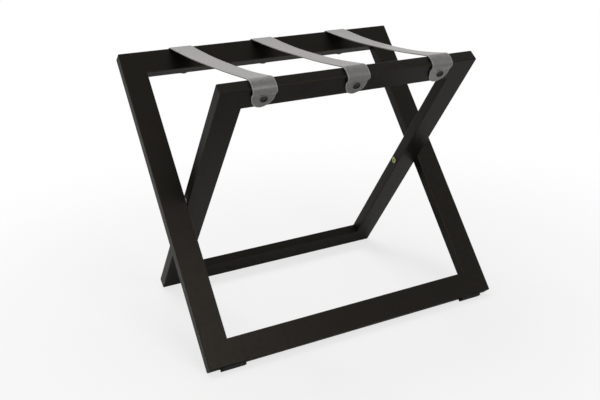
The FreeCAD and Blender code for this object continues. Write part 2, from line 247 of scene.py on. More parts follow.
# %% Finish: bare beech
def bare_beech():
    material, tree, shader = start_material("bare_beech_sanded", {"Roughness": 0.6})
    place = add(tree, "ShaderNodeTexCoord")
    # Fibres 0.8 mm wide and thirty times as long.
    stretched = add(tree, "ShaderNodeVectorMath", {"operation": "MULTIPLY"}, {
        0: place.outputs["Object"], 1: (1 / 30, 1, 1)})
    fibres = add(tree, "ShaderNodeTexNoise", None, {
        "Vector": stretched.outputs[0], "Scale": 1 / (0.8 * MM), "Detail": 3.0})
    colour = add(tree, "ShaderNodeMix", {"data_type": "RGBA"}, {
        0: fibres.outputs[0], 6: linear("#b98d62"), 7: linear("#d8b288")})
    tree.links.new(colour.outputs[2], shader.inputs["Base Color"])
    bump = add(tree, "ShaderNodeBump", None, {
        "Strength": 0.4, "Distance": 0.1 * MM, "Height": fibres.outputs[0]})
    tree.links.new(bump.outputs[0], shader.inputs["Normal"])
    return material


paint(bare_beech(), "outer_frame_tenons", "inner_frame_tenons")
print("tenons finished in bare beech")

# %% [markdown]
# ## Metals, nylon and rubber
#
# The pivot bolts are turned brass: yellow, with fine rings from the lathe round the bolt's axis. The
# inserts are steel with a thin zinc plate, which looks pale and slightly patchy. The washers are natural
# nylon, a milky white with a soft gloss, and the foot pads are black rubber with a matt, faintly pitted
# skin. Each is a short material whose pattern is measured in real millimetres. A metal's colour is its
# reflection, so it needs no other tint.

# %% Finish: turned brass
def turned_brass():
    material, tree, shader = start_material("turned_brass", {"Metallic": 1.0})
    place = add(tree, "ShaderNodeTexCoord")
    centred = add(tree, "ShaderNodeVectorMath", {"operation": "SUBTRACT"}, {
        0: place.outputs["Object"], 1: (0, PIVOT.y, PIVOT.z)})
    # Tool marks 0.3 mm apart, as rings round the bolt's axis, which lies along X.
    rings = add(tree, "ShaderNodeTexWave", {"wave_type": "RINGS", "rings_direction": "X"}, {
        "Vector": centred.outputs[0], "Scale": WAVE / (0.3 * MM), "Distortion": 0.6})
    # Faint tarnish in spots of 2.5 mm.
    spots = add(tree, "ShaderNodeTexNoise", None, {"Vector": centred.outputs[0], "Scale": 1 / (2.5 * MM)})
    colour = add(tree, "ShaderNodeMix", {"data_type": "RGBA"}, {
        0: spots.outputs[0], 6: linear("#918d5c"), 7: linear("#b5b183")})
    tree.links.new(colour.outputs[2], shader.inputs["Base Color"])
    roughness = add(tree, "ShaderNodeMapRange", None, {
        "Value": spots.outputs[0], "From Min": 0.3, "From Max": 0.7, "To Min": 0.30, "To Max": 0.42})
    tree.links.new(roughness.outputs[0], shader.inputs["Roughness"])
    bump = add(tree, "ShaderNodeBump", None, {
        "Strength": 0.3, "Distance": 0.02 * MM, "Height": rings.outputs["Fac"]})
    tree.links.new(bump.outputs[0], shader.inputs["Normal"])
    return material


paint(turned_brass(), "pivot_bolt_left", "pivot_bolt_right")
print("bolts finished in turned brass")

# %% Finishes: zinc-plated steel, nylon and rubber
def speckled(name, settings, dark, light, grain, depth, roughness):
    """A material mottled between two tones, with patches and a skin of one grain size."""
    material, tree, shader = start_material(name, settings)
    place = add(tree, "ShaderNodeTexCoord")
    patches = add(tree, "ShaderNodeTexNoise", None, {
        "Vector": place.outputs["Object"], "Scale": 1 / (8 * grain), "Detail": 3.0})
    skin = add(tree, "ShaderNodeTexNoise", None, {
        "Vector": place.outputs["Object"], "Scale": 1 / grain, "Detail": 2.0})
    colour = add(tree, "ShaderNodeMix", {"data_type": "RGBA"}, {
        0: patches.outputs[0], 6: linear(dark), 7: linear(light)})
    tree.links.new(colour.outputs[2], shader.inputs["Base Color"])
    rough = add(tree, "ShaderNodeMapRange", None, {
        "Value": patches.outputs[0], "From Min": 0.3, "From Max": 0.7,
        "To Min": roughness - 0.05, "To Max": roughness + 0.05})
    tree.links.new(rough.outputs[0], shader.inputs["Roughness"])
    bump = add(tree, "ShaderNodeBump", None, {"Strength": 0.5, "Distance": depth, "Height": skin.outputs[0]})
    tree.links.new(bump.outputs[0], shader.inputs["Normal"])
    return material


zinc_plate = speckled("zinc_plated_steel", {"Metallic": 1.0}, "#a9abac", "#c8c9c6", 0.4 * MM, 0.01 * MM, 0.32)
nylon = speckled("natural_nylon_moulded", {
    "IOR": 1.53, "Subsurface Weight": 0.15, "Subsurface Scale": 1 * MM},
    "#dddbd2", "#eceae3", 0.5 * MM, 0.01 * MM, 0.42)
rubber = speckled("black_rubber_moulded", {"IOR": 1.5, "Specular IOR Level": 0.35},
                  "#0e0e0e", "#191918", 0.6 * MM, 0.05 * MM, 0.78)
paint(zinc_plate, "pivot_insert_left", "pivot_insert_right")
paint(nylon, "pivot_washer_left", "pivot_washer_right")
paint(rubber, *[f"{name}_foot_pad_{side}" for name in FRAME_WIDTH for side in ("left", "right")])
print("small pieces finished: inserts, washers and pads")

# %% [markdown]
# ## Leather
#
# The straps are cut from a 2 mm side of grey leather. The outer, grain side is dyed and rubbed smooth, with
# a fine pebble and a soft sheen. The cut edges show the paler middle of the hide, with less gloss. The
# flesh side underneath is paler still, and fuzzy. So a strap has three finishes. All of them read the
# strap's own flat pattern, stored as a UV map in metres, so that the grain follows the bends. The grain
# side also reads how far each point is from the edge: the edge tool leaves a pressed line 2.7 mm in, which
# is darkened as painted shade in its groove, and the leather outside it is drawn lighter, a painted
# highlight of the rounded edge.

# %% Finishes: leather
EDGE_LINE = 2.7 * MM      # from the cut edge to the pressed line


def leather(name, dark, light, pebble, depth, roughness, settings, rim=None):
    """Leather in flat-pattern coordinates. With rim, a tone, it has a pressed line along its edges.

    The line is darkened as painted shade in its groove, and outside it the rim tone is a painted highlight.
    """
    material, tree, shader = start_material(name, settings)
    flat = add(tree, "ShaderNodeUVMap", {"uv_map": "flat"})
    # The real pebble is about 0.5 mm: it is drawn coarser, so that it shows.
    cells = add(tree, "ShaderNodeTexVoronoi", {"feature": "SMOOTH_F1"}, {
        "Vector": flat.outputs[0], "Scale": 1 / pebble, "Smoothness": 0.4})
    fine = add(tree, "ShaderNodeTexNoise", None, {"Vector": flat.outputs[0], "Scale": 1 / (0.3 * pebble)})
    mottle = add(tree, "ShaderNodeTexNoise", None, {
        "Vector": flat.outputs[0], "Scale": 1 / (11 * MM), "Detail": 6.0, "Roughness": 0.66})
    colour = add(tree, "ShaderNodeMix", {"data_type": "RGBA"}, {
        0: mottle.outputs[0], 6: linear(dark), 7: linear(light)})
    rough = add(tree, "ShaderNodeMapRange", None, {
        "Value": mottle.outputs[0], "From Min": 0.3, "From Max": 0.7,
        "To Min": roughness - 0.06, "To Max": roughness + 0.06})
    bump = add(tree, "ShaderNodeBump", None, {
        "Strength": 0.55, "Distance": depth, "Height": cells.outputs["Distance"]})
    bump = add(tree, "ShaderNodeBump", None, {
        "Strength": 0.3, "Distance": depth, "Height": fine.outputs[0], "Normal": bump.outputs[0]})
    # The hide isn't quite even: it has soft swells some 9 mm across.
    swell = add(tree, "ShaderNodeTexNoise", None, {
        "Vector": flat.outputs[0], "Scale": 1 / (9 * MM), "Detail": 2.0})
    bump = add(tree, "ShaderNodeBump", None, {
        "Strength": 0.7, "Distance": 0.3 * MM, "Height": swell.outputs[0], "Normal": bump.outputs[0]})
    if rim:
        inward = add(tree, "ShaderNodeAttribute", {"attribute_name": "edge"})
        # Within about 2 mm of the edge the colour turns towards the rim tone: a painted highlight of the
        # rounded edge.
        rim_highlight_mask = add(tree, "ShaderNodeMapRange", {"interpolation_type": "SMOOTHSTEP"}, {
            "Value": inward.outputs["Fac"], "From Min": 2.5 * MM, "From Max": 1.9 * MM})
        off_line = add(tree, "ShaderNodeMath", {"operation": "SUBTRACT"}, {
            0: inward.outputs["Fac"], 1: EDGE_LINE})
        off_line = add(tree, "ShaderNodeMath", {"operation": "ABSOLUTE"}, {0: off_line.outputs[0]})
        line = add(tree, "ShaderNodeMapRange", {"interpolation_type": "SMOOTHSTEP"}, {
            "Value": off_line.outputs[0], "From Min": 0.1 * MM, "From Max": 0.6 * MM})
        rim_highlight_share = add(tree, "ShaderNodeMath", {"operation": "MULTIPLY"}, {0: rim_highlight_mask.outputs[0], 1: 0.6})
        colour = add(tree, "ShaderNodeMix", {"data_type": "RGBA"}, {
            0: rim_highlight_share.outputs[0], 6: colour.outputs[2], 7: linear(rim)})
        # The pressed line is darkened in colour as well as sunk by the bump: painted shade in its groove.
        line_shade = add(tree, "ShaderNodeMapRange", None, {
            "Value": line.outputs[0], "To Min": 0.62, "To Max": 1.0})
        colour = add(tree, "ShaderNodeMix", {"data_type": "RGBA", "blend_type": "MULTIPLY"}, {
            0: 1.0, 6: colour.outputs[2], 7: line_shade.outputs[0]})
        bump = add(tree, "ShaderNodeBump", None, {
            "Strength": 0.8, "Distance": 0.3 * MM, "Height": line.outputs[0], "Normal": bump.outputs[0]})
    tree.links.new(colour.outputs[2], shader.inputs["Base Color"])
    tree.links.new(rough.outputs[0], shader.inputs["Roughness"])
    tree.links.new(bump.outputs[0], shader.inputs["Normal"])
    return material


# The grain side's rim tone, #96948f, is a painted highlight along its rounded edges.
LEATHER = [
    leather("grey_leather_grain_side", "#5a5856", "#787674", 1.1 * MM, 0.07 * MM, 0.31,
            {"Specular IOR Level": 0.75, "Sheen Weight": 0.16, "Sheen Roughness": 0.4,
             "Sheen Tint": linear("#f2d6d3")}, rim="#96948f"),
    leather("grey_leather_cut_edge", "#76736f", "#8c8985", 0.8 * MM, 0.08 * MM, 0.55,
            {"Specular IOR Level": 0.36}),
    leather("grey_leather_flesh_side", "#8b8680", "#a19b93", 0.7 * MM, 0.20 * MM, 0.85,
            {"Specular IOR Level": 0.3, "Sheen Weight": 0.3}),
]
print("leather finishes:", [finish.name for finish in LEATHER])

# %% [markdown]
# ## The line of a strap
#
# Seen from the side, a strap is a band of constant thickness that runs up the outside of one top rail, over
# it, across the gap in a shallow sag, and down the outside of the other. Leather won't fold sharply, so it
# arches over the top of the rail, stands off the wood below the corner and comes back to it at the screw. A
# spline through picked points would wander in thickness. Instead the line is walked like a path on a map,
# in straight runs and bends that each meet the last one smoothly. The walk gives the lower side of the
# leather, with the direction that points away from the wood.

# %% Walk the line of a strap
STRAP_WIDTH, STRAP_THICKNESS, STRAP_SEAT = 44 * MM, 2 * MM, 0.3 * MM
STRAP_REACH, STRAP_TAPER = 46.5 * MM, 36 * MM
STRAP_BEND, STRAP_ARCH = 7 * MM, math.radians(24)
EDGE_RADIUS, SCREW_DROP, HEAD_DIAMETER = 1.5 * MM, 26 * MM, 13.5 * MM
FLAT_BELOW = SCREW_DROP - HEAD_DIAMETER / 2 - 1 * MM        # a tongue lies flat from 1 mm above the head
LONGEST_STEP, SHARPEST_STEP = 1.2 * MM, math.radians(7)     # between two points of the line


def walk(point, heading, path):
    """Walks a path of ("run", length) and ("bend", radius, turn) pieces.

    It returns the points, the outward directions and the distances along the middle of the leather."""
    points, outward, along = [np.array(point)], [heading + math.pi / 2], [0.0]
    for piece in path:
        if piece[0] == "run":
            length, turn = piece[1], 0.0
        else:
            turn = piece[2]
            length = abs(turn) * (piece[1] + math.copysign(STRAP_THICKNESS / 2, -turn))
        steps = max(2, math.ceil(max(length / LONGEST_STEP, abs(turn) / SHARPEST_STEP)))
        for _ in range(steps):
            if piece[0] == "run":
                step = piece[1] / steps * np.array([math.cos(heading), math.sin(heading)])
            else:
                chord = 2 * piece[1] * math.sin(abs(turn) / steps / 2)
                middle = heading + turn / steps / 2
                step = chord * np.array([math.cos(middle), math.sin(middle)])
                heading += turn / steps
            points.append(points[-1] + step)
            outward.append(heading + math.pi / 2)
            along.append(along[-1] + length / steps)
    outward = np.array(outward)
    return np.array(points), np.stack([np.cos(outward), np.sin(outward)], 1), np.array(along)


def strap_line(sag, bulge):
    """The lower side of a strap from the front tip to the back tip, in the YZ plane."""
    over_edge = EDGE_RADIUS + STRAP_SEAT
    drop = FLAT_BELOW - EDGE_RADIUS - (STRAP_BEND - over_edge) * math.cos(STRAP_ARCH)
    flare = 2 * math.atan(bulge / drop)
    relief = drop / math.sin(flare) - STRAP_BEND
    across = 2 * HALF_BAR + STRAP_SEAT + bulge - STRAP_BEND - EDGE_RADIUS
    arch_radius = (across / math.sin(STRAP_ARCH) + STRAP_BEND + over_edge) / 2
    edge_y = (HALF_LEG - EDGE_RADIUS) * math.sin(LEAN) - (HALF_BAR - EDGE_RADIUS) * math.cos(LEAN)
    rise = 2 * math.atan(sag / edge_y)
    span_radius = edge_y / math.sin(rise) - over_edge
    end = [("run", STRAP_REACH - FLAT_BELOW), ("bend", relief, flare),
           ("bend", STRAP_BEND, STRAP_ARCH - math.pi / 2 - flare), ("bend", arch_radius, -2 * STRAP_ARCH),
           ("bend", over_edge, STRAP_ARCH - LEAN - rise)]
    tip = in_bench("inner", 0, -(HALF_BAR + STRAP_SEAT), HALF_LEG - STRAP_REACH)
    return walk((tip.y, tip.z), math.pi / 2 + LEAN, end + [("bend", span_radius, 2 * rise)] + end[::-1])


line_points, _, line_along = strap_line(sag=7.2 * MM, bulge=3.5 * MM)
print(f"a strap is {line_along[-1] * 1000:.0f} mm long, in {len(line_along)} steps; it ends at "
      f"y {line_points[-1][0] * 1000:.1f} mm, z {line_points[-1][1] * 1000:.1f} mm")

# %% [markdown]
# ## The leather on that line
#
# The flat pattern of a strap is a long rectangle with rounded tips. Rows of points cross it, closer
# together at the tips, and every point is bent into place along the line. Three things make it leather and
# not sheet metal. The upper arris is rounded, from each point's distance to the edge of the pattern. The
# tongues cup: the screw holds the middle against the rail, and the sides lift about 2 mm. And no strap is
# quite true, so each one gets its own sag, the bulge at its bends, a slight twist along the span, and
# tongues that run a few millimetres askew to their screws. Cloth simulation would be the tool for something
# limp, but a strap this stiff keeps the shape it is bent to, so it is modelled directly.

# %% Build the straps
ARRIS, LOWER_ARRIS = 0.7 * MM, 0.4 * MM
INSETS = np.array([0.0, 0.12, 0.35, 0.7, 1.1, 1.8, 2.4, 2.7, 3.0, 3.6, 5.0, 7.5, 11.0, 15.0, 19.0]) * MM
CUP_AT = np.array([0.0, 5.0, 14.0, 22.0, 30.0, 38.0]) * MM      # distance from the tip
CUP_LIFT = np.array([0.9, 1.7, 2.3, 2.0, 0.9, 0.0]) * MM
BEND_FROM, BEND_TO, SKEW_FROM = 12 * MM, 48 * MM, 52 * MM       # distances from the tip
SPAN_FROM = 76 * MM                                # where the part between the rails starts, from the tip
RIPPLE, RIPPLE_STEP = 0.25 * MM, 31 * MM           # height of the span's unevenness, and its length / 2 pi
TIP_ANGLES = np.radians(np.r_[1.5, 3, 4.5, 6.5, 9, np.arange(12, 90, 3.5), 90])     # rows on the round tip
ROW_STEP, LEAST_STEP = 1.5 * MM, 0.5 * MM          # between rows on the straight part, and at its end
OUTLINE_POINTS, BATCH = 400, 4000                  # points on the outline of a tip, and measured at once


def half_width(from_tip):
    """Half the width of the flat pattern at a distance from the nearer tip: a half ellipse, then straight."""
    share = np.clip(from_tip / STRAP_TAPER, 0, 1)
    return STRAP_WIDTH / 2 * np.sqrt(1 - (1 - share) ** 2)


def strap_rows(length):
    """Where the rows of points cross the pattern."""
    tip = STRAP_TAPER * (1 - np.cos(TIP_ANGLES))
    straight = np.arange(tip[-1] + ROW_STEP, length - tip[-1] - LEAST_STEP, ROW_STEP)
    return np.concatenate([tip, straight, length - tip[::-1]])


def inside_distance(x, from_front, length):
    """Distance of points of the flat pattern from its outline."""
    near_tip = np.linspace(0, STRAP_TAPER, OUTLINE_POINTS)
    near_tip = STRAP_TAPER * (1 - np.cos(near_tip / STRAP_TAPER * math.pi / 2))
    tips = (near_tip, length - near_tip)
    curve = np.concatenate([np.stack([half_width(near_tip), tip], 1) for tip in tips])
    flat = np.stack([np.abs(x), from_front], 1)
    near = np.full(len(x), np.inf)
    for start in range(0, len(x), BATCH):
        part = flat[start:start + BATCH]
        near[start:start + BATCH] = np.min(np.linalg.norm(part[:, None] - curve[None], axis=2), axis=1)
    middle = (from_front > STRAP_TAPER) & (from_front < length - STRAP_TAPER)
    return np.where(middle, np.minimum(near, STRAP_WIDTH / 2 - np.abs(x)), near)


def build_strap(name, centre, sag, bulge, twist, lead, tilt, skew_front, skew_back):
    """One strap.

    Twist lifts the right edge of its span by so much, nearer to the front rail the smaller lead is.
    Tilt lifts the right edge at the front bend, and the skews move the two tips to the right."""
    points, outward, along = strap_line(sag, bulge)
    length = along[-1]
    rows = strap_rows(length)
    share = np.concatenate([1 - INSETS / (STRAP_WIDTH / 2), [0.0]])
    share = np.concatenate([share, -share[-2::-1]])
    from_front = np.repeat(rows, len(share))
    from_tip = np.minimum(from_front, length - from_front)
    x = half_width(from_tip) * np.tile(share, len(rows))
    edge = inside_distance(x, from_front, length)
    front = from_front < length / 2
    aside = np.where(front, skew_front, skew_back) * np.clip(1 - from_tip / SKEW_FROM, 0, 1)

    base = np.stack([np.interp(from_front, along, points[:, k]) for k in (0, 1)], 1)
    out = np.stack([np.interp(from_front, along, outward[:, k]) for k in (0, 1)], 1)
    out /= np.linalg.norm(out, axis=1, keepdims=True)
    lift = np.interp(from_tip, CUP_AT, CUP_LIFT) * (x / (STRAP_WIDTH / 2)) ** 2
    span = np.clip((from_front - SPAN_FROM) / (length - 2 * SPAN_FROM), 0, 1)
    uneven = twist * x / (STRAP_WIDTH / 2) + RIPPLE * np.sin(from_front / RIPPLE_STEP)
    lift += np.sin(math.pi * span ** lead) * uneven
    at_bend = np.sin(math.pi * np.clip((from_tip - BEND_FROM) / (BEND_TO - BEND_FROM), 0, 1)) * front
    lift += tilt * at_bend * (np.maximum(x, 0) / (STRAP_WIDTH / 2)) ** 2

    def rounded(radius):
        return radius - np.sqrt(np.maximum(radius ** 2 - np.maximum(radius - edge, 0) ** 2, 0))

    layers = []
    for height in (STRAP_THICKNESS - rounded(ARRIS), rounded(LOWER_ARRIS)):
        yz = base + out * (height + lift)[:, None]
        layers.append(np.column_stack([centre + x + aside, yz]))
    count, across = len(from_front), len(share)
    number = np.arange(count).reshape(len(rows), across)
    # A row runs from right to left, and the rows from front to back: in this order the corners of a face
    # run anticlockwise for someone who looks at the grain side.
    first, second = number[:-1, :-1].ravel(), number[1:, :-1].ravel()
    third, fourth = number[1:, 1:].ravel(), number[:-1, 1:].ravel()
    rim = np.concatenate([number[0], number[1:, -1], number[-1, -2::-1], number[-2:0:-1, 0]])
    ring = np.roll(rim, -1)
    faces = np.concatenate([
        np.stack([first, second, third, fourth], 1), np.stack([fourth, third, second, first], 1) + count,
        np.stack([ring, ring + count, rim + count, rim], 1)])

    mesh = bpy.data.meshes.new(name)
    mesh.from_pydata(np.concatenate(layers).tolist(), [], faces.tolist())
    top, rest = len(first), len(faces) - 2 * len(first)
    mesh.polygons.foreach_set("material_index", np.repeat([0, 2, 1], [top, top, rest]).astype(np.int32))
    mesh.polygons.foreach_set("use_smooth", np.ones(len(faces), bool))
    for finish in LEATHER:
        mesh.materials.append(finish)
    flat = np.tile(np.stack([x, from_front], 1), (2, 1))
    corner = np.zeros(len(mesh.loops), np.int32)
    mesh.loops.foreach_get("vertex_index", corner)
    mesh.uv_layers.new(name="flat").data.foreach_set("uv", flat[corner].ravel())
    inset = mesh.attributes.new("edge", "FLOAT", "POINT").data
    inset.foreach_set("value", np.tile(edge, 2).astype(np.float32))
    mesh.validate()
    mesh.update()
    piece = bpy.data.objects.new(name, mesh)
    bpy.context.scene.collection.objects.link(piece)
    return piece


STRAP_HANG = {
    "left": {"sag": 5.7 * MM, "bulge": 4.0 * MM, "twist": -1.7 * MM, "lead": 0.65, "tilt": 0.4 * MM,
             "skew_front": 2.8 * MM, "skew_back": 0.0},
    "centre": {"sag": 6.7 * MM, "bulge": 4.0 * MM, "twist": -1.6 * MM, "lead": 1.0, "tilt": -1.1 * MM,
               "skew_front": 3.6 * MM, "skew_back": -3.0 * MM},
    "right": {"sag": 9.2 * MM, "bulge": 2.6 * MM, "twist": -2.4 * MM, "lead": 0.8, "tilt": -1.0 * MM,
              "skew_front": 2.2 * MM, "skew_back": 4.0 * MM}}
for name, centre in STRAP_X.items():
    piece = build_strap(f"leather_strap_{name}", centre, **STRAP_HANG[name])
    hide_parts(f"strap_{name}")
    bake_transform(piece)
    print(piece.name, "faces:", len(piece.data.polygons))

# %% [markdown]
# ## The strap screws
#
# Each end of a strap is held by one round-headed screw with a cross recess, in blackened steel. Three on
# the front rail and three on the back are the same screw, so Geometry Nodes make one and repeat it. The
# head is a flat grid that is wrapped into a disc: one side of the grid becomes the distance from the
# middle, the other the angle, and a little arithmetic gives the height of the dome and the depth of the
# recess. The repeats stand on a line of points, each turned by an angle of its own, as screws driven by
# hand are. The sizes are inputs of the tree, so one tree makes both rows.

# %% Finish: blackened steel
blackened_steel = speckled("blackened_steel", {"Metallic": 1.0, "Specular Tint": linear("#4a4845")},
                           "#373532", "#494742", 0.35 * MM, 0.02 * MM, 0.42)
print("screw finish:", blackened_steel.name)

# %% A tree of nodes that makes a row of screws
HEAD_RINGS, HEAD_SIDES, SHANK_SIDES = 34, 96, 24
DOME_CURVE, DOME_POWER = 2.3, 0.6      # a flat crown that turns down steeply at the rim
WALL_SLOPE = 0.15 * MM                 # half the width over which a wall of the recess slopes
QUARTER_TURN = 1.57                    # a cross recess looks the same after each
SCREW_INPUTS = {
    "Count": ("NodeSocketInt", 3), "Spacing": ("NodeSocketFloat", 175 * MM),
    "Head Diameter": ("NodeSocketFloat", HEAD_DIAMETER), "Head Height": ("NodeSocketFloat", 3.6 * MM),
    "Recess Width": ("NodeSocketFloat", 1.1 * MM), "Recess Length": ("NodeSocketFloat", 5.2 * MM),
    "Recess Depth": ("NodeSocketFloat", 1.5 * MM), "Shank Diameter": ("NodeSocketFloat", 4 * MM),
    "Shank Length": ("NodeSocketFloat", 15 * MM), "Place": ("NodeSocketVector", (0, 0, 0)),
    "Turn": ("NodeSocketRotation", (0, 0, 0)), "Seed": ("NodeSocketInt", 1),
    "Material": ("NodeSocketMaterial", None),
}


def screw_tree():
    tree = bpy.data.node_groups.new("row_of_screws", "GeometryNodeTree")
    for name, (kind, value) in SCREW_INPUTS.items():
        socket = tree.interface.new_socket(name, in_out="INPUT", socket_type=kind)
        if value is not None:
            socket.default_value = value
    tree.interface.new_socket("Geometry", in_out="OUTPUT", socket_type="NodeSocketGeometry")
    given = add(tree, "NodeGroupInput").outputs
    half = {}
    for size in ("Head Diameter", "Recess Width", "Recess Length", "Shank Diameter", "Shank Length"):
        half[size] = add(tree, "ShaderNodeMath", {"operation": "MULTIPLY"}, {
            0: given[size], 1: 0.5}).outputs[0]

    # The grid's own x runs from the middle of the head to its rim, and its y goes once round.
    grid = add(tree, "GeometryNodeMeshGrid", None, {
        "Size X": 1.0, "Size Y": 1.0, "Vertices X": HEAD_RINGS, "Vertices Y": HEAD_SIDES + 1})
    here = add(tree, "GeometryNodeInputPosition")
    at = add(tree, "ShaderNodeSeparateXYZ", None, {0: here.outputs[0]})
    share = add(tree, "ShaderNodeMath", {"operation": "ADD"}, {0: at.outputs[0], 1: 0.5})
    round_share = add(tree, "ShaderNodeMath", {"operation": "ADD"}, {0: at.outputs[1], 1: 0.5})
    angle = add(tree, "ShaderNodeMath", {"operation": "MULTIPLY"}, {
        0: round_share.outputs[0], 1: 2 * math.pi})
    radius = add(tree, "ShaderNodeMath", {"operation": "MULTIPLY"}, {
        0: share.outputs[0], 1: half["Head Diameter"]})
    flat = []
    for turn in ("COSINE", "SINE"):
        part = add(tree, "ShaderNodeMath", {"operation": turn}, {0: angle.outputs[0]})
        flat.append(add(tree, "ShaderNodeMath", {"operation": "MULTIPLY"}, {
            0: radius.outputs[0], 1: part.outputs[0]}).outputs[0])
    # The dome's height is a share of the head's: one less the curve, to a power.
    fallen = add(tree, "ShaderNodeMath", {"operation": "POWER"}, {0: share.outputs[0], 1: DOME_CURVE})
    remaining = add(tree, "ShaderNodeMath", {"operation": "SUBTRACT"}, {0: 1.0, 1: fallen.outputs[0]})
    dome = add(tree, "ShaderNodeMath", {"operation": "POWER"}, {0: remaining.outputs[0], 1: DOME_POWER})
    height = add(tree, "ShaderNodeMath", {"operation": "MULTIPLY"}, {
        0: given["Head Height"], 1: dome.outputs[0]})

    def slot(across, lengthways):
        """1 inside one slot of the cross, falling to 0 over its walls."""
        depth = 1.0
        for value, size in ((across, "Recess Width"), (lengthways, "Recess Length")):
            off = add(tree, "ShaderNodeMath", {"operation": "ABSOLUTE"}, {0: value})
            past = add(tree, "ShaderNodeMath", {"operation": "SUBTRACT"}, {0: off.outputs[0], 1: half[size]})
            inside = add(tree, "ShaderNodeMapRange", {"interpolation_type": "SMOOTHSTEP"}, {
                "Value": past.outputs[0], "From Min": WALL_SLOPE, "From Max": -WALL_SLOPE})
            both = add(tree, "ShaderNodeMath", {"operation": "MULTIPLY"}, {0: depth, 1: inside.outputs[0]})
            depth = both.outputs[0]
        return depth

    # Two slots at right angles make the cross.
    cross = add(tree, "ShaderNodeMath", {"operation": "MAXIMUM"}, {0: slot(*flat), 1: slot(*flat[::-1])})
    recess = add(tree, "ShaderNodeMath", {"operation": "MULTIPLY"}, {
        0: cross.outputs[0], 1: given["Recess Depth"]})
    top = add(tree, "ShaderNodeMath", {"operation": "SUBTRACT"}, {0: height.outputs[0], 1: recess.outputs[0]})
    spot = add(tree, "ShaderNodeCombineXYZ", None, {0: flat[0], 1: flat[1], 2: top.outputs[0]})
    head = add(tree, "GeometryNodeSetPosition", None, {0: grid.outputs["Mesh"], "Position": spot.outputs[0]})
    base = add(tree, "GeometryNodeMeshCircle", {"fill_type": "NGON"}, {
        "Vertices": HEAD_SIDES, "Radius": half["Head Diameter"]})
    under = add(tree, "GeometryNodeFlipFaces", None, {0: base.outputs[0]})
    closed = add(tree, "GeometryNodeJoinGeometry")
    for part in (head, under):
        tree.links.new(part.outputs[0], closed.inputs[0])
    sealed = add(tree, "GeometryNodeMergeByDistance", None, {0: closed.outputs[0], "Distance": 0.004 * MM})

    shank = add(tree, "GeometryNodeMeshCylinder", None, {
        "Vertices": SHANK_SIDES, "Radius": half["Shank Diameter"], "Depth": given["Shank Length"]})
    # The shank starts 1 mm inside the head, so that no two faces lie in one plane.
    depth = add(tree, "ShaderNodeMath", {"operation": "SUBTRACT"}, {0: 1 * MM, 1: half["Shank Length"]})
    down = add(tree, "ShaderNodeCombineXYZ", None, {2: depth.outputs[0]})
    shank = add(tree, "GeometryNodeTransform", None, {
        0: shank.outputs["Mesh"], "Translation": down.outputs[0]})
    screw = add(tree, "GeometryNodeJoinGeometry")
    for part in (sealed, shank):
        tree.links.new(part.outputs[0], screw.inputs[0])

    # The row starts half its length to the left, so that its middle is at its place.
    gaps = add(tree, "ShaderNodeMath", {"operation": "SUBTRACT"}, {0: given["Count"], 1: 1.0})
    half_left = add(tree, "ShaderNodeMath", {"operation": "MULTIPLY"}, {0: given["Spacing"], 1: -0.5})
    first = add(tree, "ShaderNodeMath", {"operation": "MULTIPLY"}, {
        0: gaps.outputs[0], 1: half_left.outputs[0]})
    start = add(tree, "ShaderNodeCombineXYZ", None, {0: first.outputs[0]})
    offset = add(tree, "ShaderNodeCombineXYZ", None, {0: given["Spacing"]})
    row = add(tree, "GeometryNodeMeshLine", None, {
        "Count": given["Count"], "Start Location": start.outputs[0], "Offset": offset.outputs[0]})
    spin = add(tree, "FunctionNodeRandomValue", {"data_type": "FLOAT"}, {
        2: 0.0, 3: QUARTER_TURN, "Seed": given["Seed"]})
    driven = add(tree, "ShaderNodeCombineXYZ", None, {2: spin.outputs[1]})
    turned = add(tree, "FunctionNodeEulerToRotation", None, {0: driven.outputs[0]})
    screws = add(tree, "GeometryNodeInstanceOnPoints", None, {
        "Points": row.outputs["Mesh"], "Instance": screw.outputs[0], "Rotation": turned.outputs[0]})
    real = add(tree, "GeometryNodeRealizeInstances", None, {0: screws.outputs[0]})
    placed = add(tree, "GeometryNodeTransform", None, {
        0: real.outputs[0], "Translation": given["Place"], "Rotation": given["Turn"]})
    smooth = add(tree, "GeometryNodeSetShadeSmooth", None, {0: placed.outputs[0]})
    finish = add(tree, "GeometryNodeSetMaterial", None, {0: smooth.outputs[0], "Material": given["Material"]})
    add(tree, "NodeGroupOutput", None, {0: finish.outputs[0]})
    return tree


SCREW_TREE = screw_tree()
print("screw tree:", len(SCREW_TREE.nodes), "nodes")

# %% [markdown]
# The tree runs as a modifier on an empty mesh. Its inputs are set by their identifiers before the mesh is
# first evaluated. The result is then copied to a plain mesh, one for each row, because each row rides on
# its own frame. The heads point away from the bench: their own z axis is turned to the outside of the rail.

# %% Place the two rows of screws
def grow(name, tree, values):
    """Runs a tree of nodes once and keeps its result as a plain mesh object."""
    piece = bpy.data.objects.new(name, bpy.data.meshes.new(name))
    bpy.context.scene.collection.objects.link(piece)
    modifier = piece.modifiers.new("nodes", "NODES")
    modifier.node_group = tree
    sockets = [item for item in tree.interface.items_tree if item.in_out == "INPUT"]
    identifiers = {socket.name: socket.identifier for socket in sockets}
    for key, value in values.items():
        modifier[identifiers[key]] = value
    bpy.context.view_layer.update()
    made = bpy.data.meshes.new_from_object(piece.evaluated_get(bpy.context.evaluated_depsgraph_get()))
    piece.modifiers.clear()
    piece.data = made
    made.name = name
    return piece


